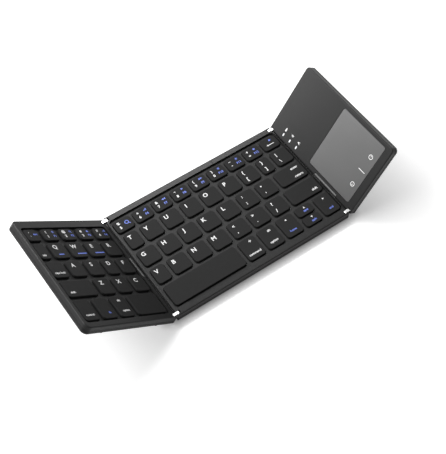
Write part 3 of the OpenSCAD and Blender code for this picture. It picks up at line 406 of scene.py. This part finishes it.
# %% Letter and sign keys
LETTER, SIGN, TALL_SIGN, WORD = 3.5, 2.6, 3.0, 2.1  # heights of a capital, in millimetres
LETTER_IN = {"mid": 4.4, "left": 5.3}  # from a key's left edge to the middle of its letter
NARROW, NARROW_IN = 12, 4.2  # a key under this width has its letter nearer the edge
LETTER_DOWN, UPPER_DOWN, LOWER_DOWN = 4.5, 4.2, 11.0  # from a key's rear edge
BLOCKS = {
    "keys_mid_lower": ("mid", 1, ["V", "B", "N", "M", "<,", ">.", "?/"]),
    "keys_mid_home": ("mid", 2, ["G", "H", "J", "K", "L", ":;", "\"'"]),
    "keys_mid_upper": ("mid", 3, ["T", "Y", "U", "I", "O", "P", "{[", "}]"]),
    "keys_left_lower": ("left", 1, ["C", "X", "Z"]),
    "keys_left_home": ("left", 2, ["F", "D", "S", "A"]),
    "keys_left_upper": ("left", 3, ["R", "E", "W", "Q"]),
}
for node, (panel, row, signs) in BLOCKS.items():
    for column, sign in enumerate(signs):
        x0, x1, y0, y1 = key_box(panel, row, column)
        body = node + "_body"
        x = x0 + (NARROW_IN if panel == "mid" and x1 - x0 < NARROW else LETTER_IN[panel])
        if len(sign) == 1:
            write(body, panel, sign, x, y1 - LETTER_DOWN, LETTER)
        else:
            write(body, panel, sign[0], x, y1 - UPPER_DOWN, SIGN if sign[0] in "<>:\"" else TALL_SIGN)
            write(body, panel, sign[1], x, y1 - LOWER_DOWN, SIGN if sign[1] in ",.;'" else TALL_SIGN)
x0, x1, y0, y1 = key_box("mid", 3, 8)
write("key_backslash_body", "mid", "|", x0 + 4.2, y1 - 4.6, 2.8)
write("key_backslash_body", "mid", "\\", x0 + 4.2, y1 - 10.8, 2.8)
print("letter marks:", sum(len(v) for v in marks.values()))

# %% [markdown]
# The number row adds blue marks at the right, small plain icons over a function number,
# and three blue bars lie under the first letters of the left wing. Each icon is drawn
# from a few corners and rings, which stay sharper than a picture would at this size.

# %% Number rows and their blue marks
TRI = [(-0.8, -0.9), (0.9, 0.0), (-0.8, 0.9)]  # a triangle that points right
SIGN_IN, ICON_IN = 4.2, 10.4  # from a number key's left edge
FIRST_DOWN, SECOND_DOWN = 3.3, 7.4  # from its rear edge to the two signs
ICON_DOWN, NUMBER_DOWN, GLASS_DOWN = 3.2, 7.2, 5.2  # and to what is blue
NUMBER_SIGN, NUMBER_WORD = 2.3, 2.0  # heights on the number row


def box_outline(w, h):
    """Corners of an upright rectangle round the origin."""
    return [(-w / 2, -h / 2), (w / 2, -h / 2), (w / 2, h / 2), (-w / 2, h / 2)]


def blue_icon(body, panel, kind, x, y):
    """A small plain picture round (x, y), about two millimetres wide."""
    if kind == "bars":
        for i in range(3):
            shape(body, panel, box_outline(0.5, 0.8 + 0.6 * i), x - 0.9 + 0.9 * i, y - 0.6 + 0.3 * i, "blue")
    elif kind == "play":
        shape(body, panel, TRI, x, y, "blue")
    elif kind == "next":
        shape(body, panel, TRI, x - 0.6, y, "blue")
        shape(body, panel, TRI, x + 0.9, y, "blue")
    elif kind == "last":
        for s in (-0.6, 0.9):
            shape(body, panel, [(-px, py) for px, py in reversed(TRI)], x + s, y, "blue")
    elif kind == "house":
        shape(body, panel, [(-1.0, -0.9), (1.0, -0.9), (1.0, 0.2), (0.0, 1.1), (-1.0, 0.2)], x, y, "blue")
    elif kind == "find":
        ring(body, panel, x - 0.2, y + 0.2, 0.85, 0.5, "blue")
        shape(body, panel, [(0.25, -0.45), (0.5, -0.2), (1.15, -0.85), (0.9, -1.1)], x, y, "blue")
    elif kind == "sun":
        ring(body, panel, x, y, 0.55, 0.0, "blue", steps=16)
        for i in range(8):
            c, s = math.cos(i * math.pi / 4), math.sin(i * math.pi / 4)
            quad = [(0.8, -0.12), (1.2, -0.12), (1.2, 0.12), (0.8, 0.12)]
            shape(body, panel, [(px * c - py * s, px * s + py * c) for px, py in quad], x, y, "blue")
    elif kind == "lock":
        shape(body, panel, box_outline(1.7, 1.1), x, y - 0.4, "blue")
        ring(body, panel, x, y + 0.1, 0.65, 0.4, "blue", sweep=180.0)


MID_NUMBERS = [("%5", "find", ""), ("^6", "bars", "F6"), ("&7", "last", "F7"), ("*8", "play", "F8"),
               ("(9", "next", "F9"), (")0", "sun", "F10"), ("_-", "sun", "F11"), ("+=", "lock", "F12")]
LEFT_NUMBERS = [("$4", "bars", "F4"), ("#3", "house", "F3"), ("@2", "find", "F2"), ("!1", "sun", "F1")]
for panel, table in (("mid", MID_NUMBERS), ("left", LEFT_NUMBERS)):
    for column, (sign, icon, words) in enumerate(table):
        x0, x1, y0, y1 = key_box(panel, 4, column)
        body = "keys_" + panel + "_numbers_body"
        write(body, panel, sign[0], x0 + SIGN_IN, y1 - FIRST_DOWN, NUMBER_SIGN)
        write(body, panel, sign[1], x0 + SIGN_IN, y1 - SECOND_DOWN, NUMBER_SIGN)
        if words:
            blue_icon(body, panel, icon, x0 + ICON_IN, y1 - ICON_DOWN)
            write(body, panel, words, x0 + ICON_IN, y1 - NUMBER_DOWN, NUMBER_WORD, "blue")
        else:  # a larger search glass takes the place of icon and number
            ring(body, panel, x0 + ICON_IN, y1 - GLASS_DOWN, 1.7, 1.1, "blue")
            handle = [(0.9, -1.3), (1.3, -0.9), (2.4, -2.0), (2.0, -2.4)]
            shape(body, panel, handle, x0 + ICON_IN, y1 - GLASS_DOWN, "blue")
x0, x1, y0, y1 = key_box("left", 4, 4)
write("keys_left_numbers_body", "left", "~", x0 + 4.2, y1 - 3.3, 0.7)
write("keys_left_numbers_body", "left", "`", x0 + 4.2, y1 - 6.8, 0.9)
write("keys_left_numbers_body", "left", "esc", x0 + 8.9, y1 - GLASS_DOWN, NUMBER_WORD, "blue")
for column, start, end in ((3, 4.7, 9.1), (2, 4.9, 13.0), (1, 4.6, 13.0)):
    x0, x1, y0, y1 = key_box("left", 3, column)
    bar = box_outline(end - start, 1.0)
    shape("keys_left_upper_body", "left", bar, x0 + (start + end) / 2, y0 + 3.7, "blue")
print("blue marks:", sum(len(v) for k, v in marks.items() if k[1] == "blue"))

# %% [markdown]
# ## Worded keys
# Keys that act rather than type carry a word: at the front left on the left wing, at
# the right on the middle panel. Every one has its own place, read from the picture, so
# the numbers beside x0, x1, y0 and y1 are millimetres from that edge of the key.

# %% Words
ARROW = 0.9  # size of an arrow head, as a share of the blue triangle


def arrow_mark(body, panel, x, y, turn):
    """An arrow head that points right, turned leftward by so many degrees."""
    c, s = math.cos(math.radians(turn)), math.sin(math.radians(turn))
    shape(body, panel, [((px * c - py * s) * ARROW, (px * s + py * c) * ARROW) for px, py in TRI], x, y)


x0, x1, y0, y1 = key_box("mid", 2, 7)
write("key_enter_body", "mid", "enter", x1 - 3.6, y1 - 4.0, WORD, align="right")
write("key_enter_body", "mid", "return", x1 - 3.6, y0 + 3.6, WORD, align="right")
x0, x1, y0, y1 = key_box("mid", 1, 7)
write("key_right_shift_body", "mid", "shift", x1 - 3.3, y0 + 4.3, WORD, align="right")
x0, x1, y0, y1 = key_box("mid", 4, 8)
shape("key_backspace_body", "mid", box_outline(5.4, 0.55), x0 + 7.9, y0 + 4.5)
arrow_mark("key_backspace_body", "mid", x0 + 4.6, y0 + 4.5, 180)
blue_icon("key_backspace_body", "mid", "lock", x0 + 9.0, y1 - 2.9)
x0, x1, y0, y1 = key_box("mid", 0, 1)
write("key_command_body", "mid", "command", (x0 + x1) / 2 - 0.2, y0 + 4.7, 1.9)
shape("key_command_body", "mid", box_outline(2.2, 0.5), x0 + 9.6, y1 - 3.9)
shape("key_command_body", "mid", box_outline(0.5, 2.2), x0 + 9.6, y1 - 3.9)
x0, x1, y0, y1 = key_box("mid", 0, 2)
write("key_right_option_body", "mid", "option", (x0 + x1) / 2, y0 + 4.8, 1.9)
write("key_right_option_body", "mid", "alt", x0 + 9.2, y1 - 4.1, 2.0)
x0, x1, y0, y1 = key_box("mid", 0, 3)
arrow_mark("key_arrow_left_body", "mid", x0 + 7.4, y1 - 4.1, 180)
write("key_arrow_left_body", "mid", "home", x0 + 7.4, y0 + 4.9, 1.8, "blue")
x0, x1, y0, y1 = key_box("mid", 0, 5)
arrow_mark("key_arrow_right_body", "mid", x0 + 7.8, y1 - 4.2, 0)
write("key_arrow_right_body", "mid", "end", x0 + 7.9, y0 + 4.8, 1.8, "blue")
x0, x1, y0, y1 = key_box("mid", 0, 4)
arrow_mark("key_arrow_up_body", "mid", x0 + 8.4, y1 - 2.5, 90)
write("key_arrow_up_body", "mid", "pgup", x0 + 8.4, y1 - 5.6, 1.6, "blue")
arrow_mark("key_arrow_down_body", "mid", x0 + 8.4, y0 + 9.0 - 2.6, -90)
write("key_arrow_down_body", "mid", "pgdn", x0 + 8.4, y0 + 3.2, 1.6, "blue")

# %% Words of the left wing
LEFT_WORD = 1.8  # height of the wing's words
for body, row, column, words, dx, dy, tone in (
        ("key_tab_body", 3, 4, "tab", 2.6, 3.6, "white"),
        ("key_caps_lock_body", 2, 4, "caps lock", 2.2, 4.2, "white"),
        ("key_left_shift_body", 1, 3, "shift", 3.8, 4.2, "white"),
        ("key_control_body", 0, 3, "control", 3.0, 5.0, "white"),
        ("key_function_body", 0, 2, "fn", 7.2, 5.2, "blue"),
        ("key_left_option_body", 0, 1, "option", 4.0, 5.3, "white")):
    x0, x1, y0, y1 = key_box("left", row, column)
    write(body, "left", words, x0 + dx, y0 + dy, LEFT_WORD, tone, align="left")
x0, x1, y0, y1 = key_box("left", 0, 1)
write("key_left_option_body", "left", "alt", x0 + 6.6, y1 - 4.0, 2.0)
print("bodies with legends:", len({k[0] for k in marks}))

# %% [markdown]
# ## Marks of the touch wing
# Three small icons stand beside the indicator lights. On the touch plate a short line
# parts the two click fields, each marked with a ring. They are printed like the keys,
# so they are laid in the same way and ride on the wing.

# %% Touch wing marks
ICON_X, FIRST_ICON, ICON_PITCH = 10.6, 14.3, 8.0  # from the hinge wall, from the rear, apart
for i, kind in enumerate(("cell", "waves", "capital")):
    x, y = ICON_X, PANEL_D / 2 - FIRST_ICON - ICON_PITCH * i
    if kind == "cell":
        shape("right_wing", "right", box_outline(2.6, 1.3), x, y)
        shape("right_wing", "right", box_outline(0.35, 0.6), x + 1.6, y)
    elif kind == "waves":
        for r in (0.5, 1.1, 1.7):
            ring("right_wing", "right", x - 0.7, y, r + 0.18, r - 0.18, start=-50.0, sweep=100.0, steps=10)
    else:
        write("right_wing", "right", "A", x, y, 2.2)
LEFT_FIELD, RIGHT_FIELD, PARTING = 17.5, 43.4, 30.4  # from the hinge pin
for across, side in ((LEFT_FIELD, -1), (RIGHT_FIELD, 1)):
    x, y = across + PIN, -38.1
    ring("touch_marks", "right", x, y, 1.9, 1.45)
    shape("touch_marks", "right", box_outline(1.1, 0.5), x + 0.5 * side, y)
shape("touch_marks", "right", box_outline(0.5, 6.6), PARTING + PIN, -38.2)

# %% Turn the kept shapes into pieces
Z_OF = {"mid": KEY_TOP, "left": KEY_TOP, "right": TOP}


def print_marks(name, body, colour, shapes, height=None):
    """One closed mesh of all the shapes, which rides on the body."""
    build = bmesh.new()
    for panel, points, faces in shapes:
        z = height if height is not None else Z_OF[panel]
        turn = PANELS[panel]
        ring_low = [build.verts.new(turn @ Vector((x * MM, y * MM, z * MM))) for x, y in points]
        ring_high = [build.verts.new(turn @ Vector((x * MM, y * MM, (z + INK_UP) * MM))) for x, y in points]
        edges = {}  # an edge that runs one way only is outline, and gets a side wall
        for face in faces:
            for a, b in zip(face, face[1:] + face[:1]):
                edges[(a, b)] = edges.get((a, b), 0) + 1
            build.faces.new([ring_high[i] for i in face])
            build.faces.new([ring_low[i] for i in reversed(face)])
        for a, b in edges:
            if (b, a) not in edges:
                build.faces.new([ring_low[a], ring_low[b], ring_high[b], ring_high[a]])
    mesh = bpy.data.meshes.new(name)
    build.to_mesh(mesh)
    build.free()
    mesh.materials.append(INKS[colour])
    piece = bpy.data.objects.new(name, mesh)
    bpy.context.scene.collection.objects.link(piece)
    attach(piece, body)
    return piece


count = 0
for (body, colour), shapes in marks.items():
    rider, height = (body, None) if body != "touch_marks" else ("right_wing", PLATE_TOP)
    piece = print_marks("legend_" + colour + "_" + body.replace("_body", ""), rider, colour, shapes, height)
    count += len(piece.data.polygons)
print("legend pieces:", len(marks), "faces:", count)

# %% [markdown]
# ## Flat cables
# A flat cable bends round its hinge, which a rigid solid can't do. Each hinge has two
# joints, so a cable is two strips, bent to the rest angle of the wing. They meet half
# way across the seam, where both follow the link bars, and stand for the rigid solid.

# %% Strips bent at rest
CABLE_Z, CABLE_THICK = 4.1, 0.2  # in millimetres, as in the solids
IN_WALL, OVER = 0.7, 0.1  # how deep in a wall the bend begins, and how far a strip runs on


def runs(corners, steps):
    """Points along straight runs, each cut into its own number of steps."""
    path = [corners[0]]
    for start, end, count in zip(corners, corners[1:], steps):
        path += [start.lerp(end, i / count) for i in range(1, count + 1)]
    return path


def strip(name, path, half_width):
    """A flat closed band of the cable's thickness along a path in the XZ plane."""
    build = bmesh.new()
    across, rings = Vector((0, half_width, 0)), []
    for i, here in enumerate(path):
        way = (path[min(i + 1, len(path) - 1)] - path[max(i - 1, 0)]).normalized()
        off = Vector((-way.z, 0, way.x)) * (CABLE_THICK / 2 * MM)
        corners = (across + off, off - across, -across - off, across - off)
        rings.append([build.verts.new(here + p) for p in corners])
    for one, two in zip(rings, rings[1:]):
        for i in range(4):
            build.faces.new([one[i], one[i - 1], two[i - 1], two[i]])
    build.faces.new(rings[0])
    build.faces.new(rings[-1][::-1])
    bmesh.ops.recalc_face_normals(build, faces=build.faces)
    mesh = bpy.data.meshes.new(name)
    build.to_mesh(mesh)
    build.free()
    mesh.materials.append(cable_film)
    piece = bpy.data.objects.new(name, mesh)
    bpy.context.scene.collection.objects.link(piece)
    return piece


def bending_cable(word, side):
    """Two strips for one cable: middle panel to link bars, and link bars to wing."""
    solid = word + "_flex_cable"
    low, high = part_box(solid)
    middle_y, half = (low.y + high.y) / 2, (high.y - low.y) / 2
    lie = MID_W / 2 - min(abs(low.x), abs(high.x)) / MM  # how far it reaches into a panel

    def at_middle(s):
        """The point s millimetres out from the middle panel's wall."""
        return Vector((side * (MID_W / 2 + s) * MM, middle_y, CABLE_Z * MM))

    def at_wing(s):
        """The point s millimetres in from the wing's wall, at its rest angle."""
        return PANELS[word] @ Vector((side * s * MM, middle_y, CABLE_Z * MM))

    meet, inner_start, outer_end = at_middle(GAP / 2), at_middle(-IN_WALL), at_wing(IN_WALL)
    inner = strip(word + "_cable_to_links", runs(
        [at_middle(-lie), inner_start, meet, at_middle(GAP / 2 + OVER)], [2, 24, 1]), half)
    outer = strip(word + "_cable_to_wing", runs(
        [at_middle(GAP / 2 - OVER), meet, at_wing(0), outer_end, at_wing(lie)], [1, 20, 6, 2]), half)
    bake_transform(inner)
    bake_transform(outer)
    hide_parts(solid)
    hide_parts(solid)
    print(word, "cable reaches", round(lie, 2), "mm into each panel")


bending_cable("left", -1)
bending_cable("right", 1)

# %% [markdown]
# ## Floor and room
# The picture is a white studio. The floor is a pale matt sheet: it takes the soft
# shadow, and a glow that shows only to the camera, a mirror or glass lifts it to white
# without putting more light on the keyboard. The glow fades where the floor is covered,
# or it would shine through the seams from under the panels. That fade is a painted
# shade on the floor under and beside the panels.

# %% Rays that show the background
def shows(desk):
    """1 for a ray from the camera, a mirror or glass, and 0 for a ray that gathers light."""
    path = desk.node("ShaderNodeLightPath")
    either = desk.node("ShaderNodeMath", {"operation": "MAXIMUM"}, {
        0: path.out("Is Camera Ray"), 1: path.out("Is Glossy Ray")}).out(0)
    return desk.node("ShaderNodeMath", {"operation": "MAXIMUM"}, {
        0: either, 1: path.out("Is Transmission Ray")}).out(0)


# %% Floor
FLOOR_PAINT, FLOOR_GLOW = 0.80, 0.42
FLOOR_HALF = 3.0  # metres from the middle to an edge
PAINTED_SHADE_REACH = 0.006  # the glow fades where something is nearer than this, in metres: a painted shade on the floor


def studio_white(name, paint, glow):
    """A matt sheet that also glows, for the rays that show it, where nothing covers it; the fade of the glow
    near a cover is a painted shade.
    """
    desk = Desk(name)
    sheet = desk.node("ShaderNodeBsdfDiffuse", {}, {"Color": grey(paint)}).out(0)
    shine = desk.node("ShaderNodeEmission", {}, {"Color": grey(1.0), "Strength": glow}).out(0)
    lifted = desk.node("ShaderNodeAddShader", {}, {0: sheet, 1: shine}).out(0)
    # painted shade: the glow is taken away where the floor is covered or something stands close
    glow_outside_painted_shade = desk.node("ShaderNodeAmbientOcclusion", {"samples": 16}, {"Distance": PAINTED_SHADE_REACH}).out("AO")
    return desk.finish(desk.node("ShaderNodeMixShader", {}, {
        0: shows(desk) * glow_outside_painted_shade, 1: sheet, 2: lifted}).out(0))


build = bmesh.new()
bmesh.ops.create_grid(build, x_segments=8, y_segments=8, size=FLOOR_HALF)
mesh = bpy.data.meshes.new("studio_floor")
build.to_mesh(mesh)
build.free()
floor = bpy.data.objects.new("studio_floor", mesh)
bpy.context.scene.collection.objects.link(floor)
floor.data.materials.append(studio_white("studio_floor_white", FLOOR_PAINT, FLOOR_GLOW))

# %% World
ROOM_FILL, ROOM_SEEN = 0.11, 1.0  # light that the room gives, and how white it looks
desk = Desk("studio_room", bpy.data.worlds)
room = desk.node("ShaderNodeBackground", {}, {"Color": grey(1.0), "Strength": ROOM_FILL}).out(0)
white = desk.node("ShaderNodeBackground", {}, {"Color": grey(1.0), "Strength": ROOM_SEEN}).out(0)
bpy.context.scene.world = desk.finish(
    desk.node("ShaderNodeMixShader", {}, {0: shows(desk), 1: room, 2: white}).out(0), "ShaderNodeOutputWorld")
print("world ready")

# %% [markdown]
# ## Lamps
# The main soft lamp stands behind and to the left, so the right wing faces it and is
# the brightest, and the left wing turns away and is the darkest. A long narrow lamp
# straight behind draws the sheen along the rear frame, and a small low one at the rear
# left is aimed at the touch wing. All are area lamps, because satin plastic would show a
# point lamp as one hot spot. The camera sees none of them.

# %% Lamps
def lamp(name, place, aim, size, watts):
    """A soft rectangular lamp at a place, turned to its aim."""
    data = bpy.data.lights.new(name, "AREA")
    data.shape = "RECTANGLE"
    data.size, data.size_y = size
    data.energy = watts
    holder = bpy.data.objects.new(name, data)
    bpy.context.scene.collection.objects.link(holder)
    holder.location = place
    holder.visible_camera = False
    holder.rotation_mode = "QUATERNION"
    holder.rotation_quaternion = (Vector(aim) - Vector(place)).to_track_quat("-Z", "Y")


lamp("lamp_rear_left", (-0.85, 0.70, 0.95), (0, 0, 0.01), (1.4, 1.1), 26.0)
lamp("lamp_rear_strip", (0.05, 0.60, 0.80), (0, 0.05, 0.0), (0.9, 0.16), 7.0)
lamp("lamp_low_left", (-0.45, 0.50, 0.10), (0.10, 0.05, 0.05), (0.25, 0.25), 1.4)

# %% [markdown]
# ## Camera
# The view was fitted to the photograph: seams, outlines and key centres gave the
# place, the angles and the focal length. The frame is 446 by 454 pixels, taller than
# wide, so the sensor's width has to be tied to the horizontal side by name.

# %% Camera
AZ, EL = math.radians(35.03), math.radians(55.62)
CAMERA_AT = Vector((-252.8, -356.1, 631.1)) * MM
FOCAL_PX, FRAME_W = 1021.5, 446  # focal length and width of the frame, in pixels
SENSOR = 36.0  # millimetres
forward = Vector((math.sin(AZ) * math.cos(EL), math.cos(AZ) * math.cos(EL), -math.sin(EL)))
right = Vector((math.cos(AZ), -math.sin(AZ), 0))
up = right.cross(forward)
camera = bpy.data.objects.new("studio_camera", bpy.data.cameras.new("studio_camera"))
bpy.context.scene.collection.objects.link(camera)
camera.data.sensor_fit = "HORIZONTAL"
camera.data.sensor_width = SENSOR
camera.data.lens = SENSOR * FOCAL_PX / FRAME_W
camera.data.clip_start, camera.data.clip_end = 0.01, 20.0
camera.matrix_world = Matrix((
    (right.x, up.x, -forward.x, CAMERA_AT.x), (right.y, up.y, -forward.y, CAMERA_AT.y),
    (right.z, up.z, -forward.z, CAMERA_AT.z), (0, 0, 0, 1)))
bpy.context.scene.camera = camera
bpy.context.scene.view_settings.view_transform = "Standard"
print("lens in mm:", round(camera.data.lens, 2))
